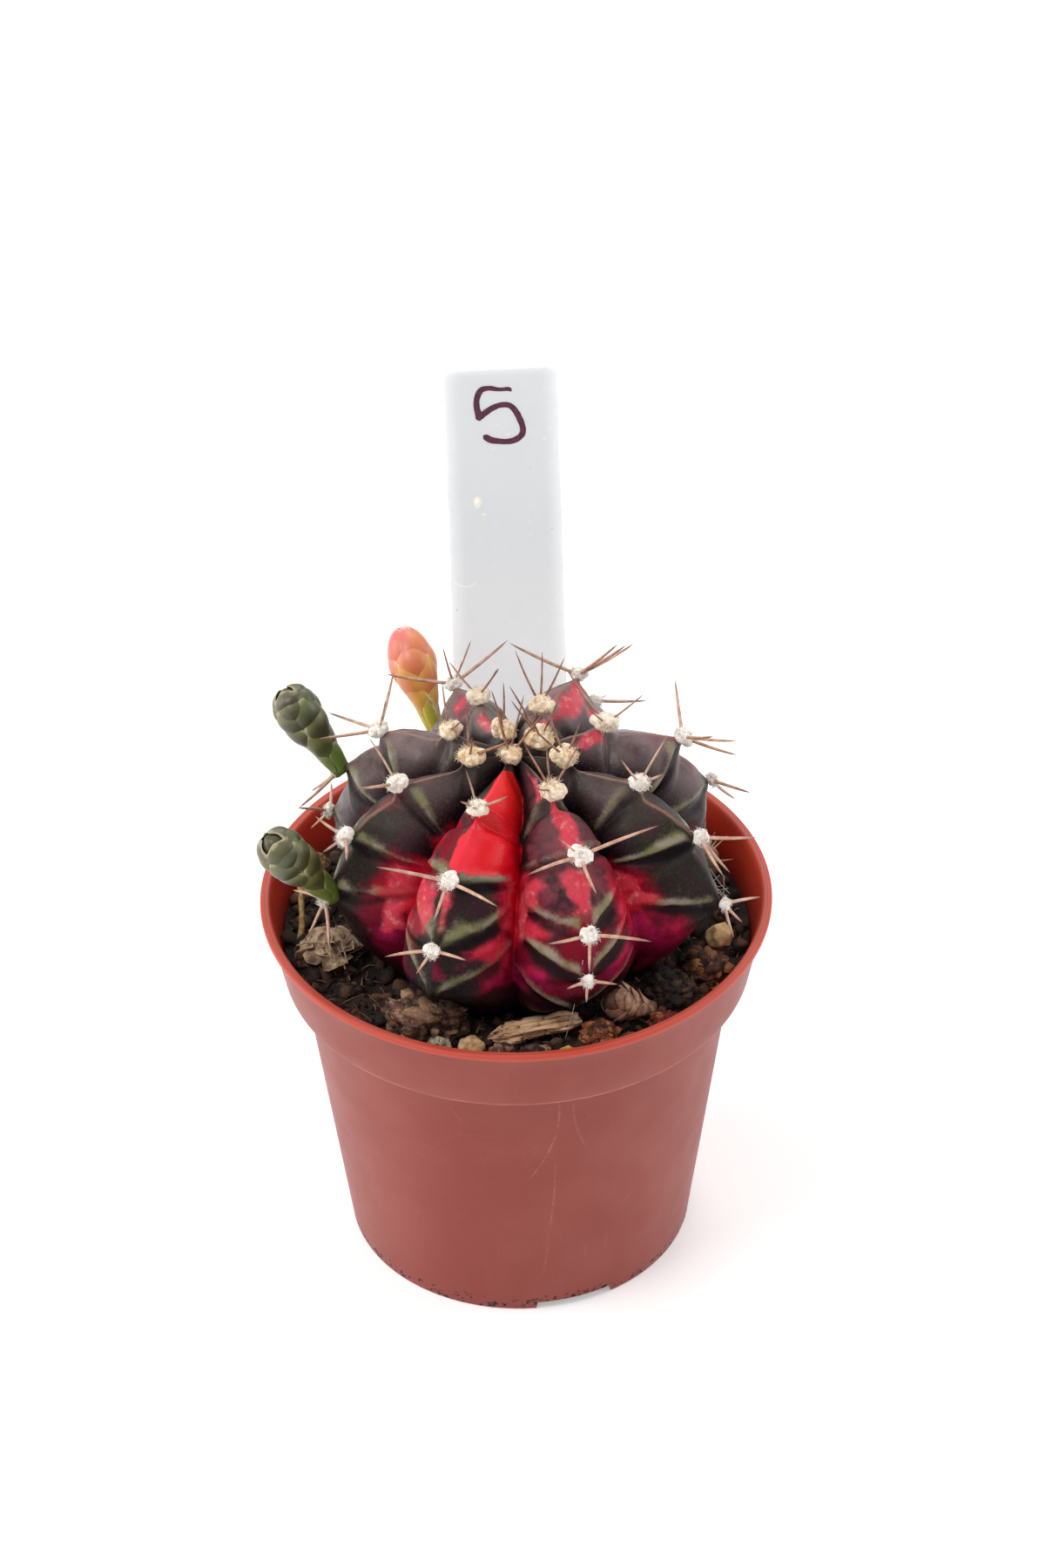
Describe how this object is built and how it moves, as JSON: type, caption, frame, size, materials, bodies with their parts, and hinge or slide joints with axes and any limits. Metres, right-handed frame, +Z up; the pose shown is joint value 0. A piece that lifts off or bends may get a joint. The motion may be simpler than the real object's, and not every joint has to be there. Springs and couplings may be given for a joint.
{
  "type": "potted moon cactus",
  "caption": "Ribbed, spiny moon cactus with flower buds on its own root, in peat in a round plastic nursery pot, with a plant label pushed in behind it.",
  "frame": {"origin": "on the ground, on the axis of the pot", "axes": "+Z up, along the axis of the pot; -Y is the front, with the label behind the plant at +Y; +X is to the right"},
  "size_m": [0.085, 0.085, 0.1444],
  "materials": {
    "pot_plastic": "semi-gloss terracotta-red polypropylene",
    "peat": "dark, crumbly, rough",
    "cactus_skin": "satin waxy skin with woolly tufts and dry spines",
    "bud_green": "satin scales",
    "bud_pink": "satin scales",
    "label_plastic": "matt white sheet, hand cut",
    "bark": "rough",
    "wood_splinter": "dry, split grain",
    "red_bark": "rough, crumbly",
    "speckled_stone": "matt, speckled",
    "tan_stone": "matt",
    "yellow_stone": "matt",
    "dry_scales": "dry, papery",
    "dry_straw": "dry",
    "dry_offset": "dry, dull"
  },
  "bodies": {
    "root": {"pot": "pot_plastic", "soil": "peat", "cactus": "cactus_skin", "bud_green_lower": "bud_green", "bud_green_upper": "bud_green", "bud_pink": "bud_pink", "plant_label": "label_plastic", "bark_lump": "bark", "crumbly_bark": "bark", "wood_chip": "wood_splinter", "peat_chip_left": "peat", "peat_chip_right": "peat", "peat_lump": "peat", "red_chunk": "red_bark", "dry_petal": "red_bark", "speckled_stone": "speckled_stone", "tan_stone_front": "tan_stone", "tan_stone_right": "tan_stone", "tan_chip_left": "tan_stone", "yellow_stone": "yellow_stone", "dry_scaly_bud": "dry_scales", "dry_flower": "dry_scales", "dry_stalk": "dry_straw", "dry_offset": "dry_offset"}
  },
  "joints": []
}
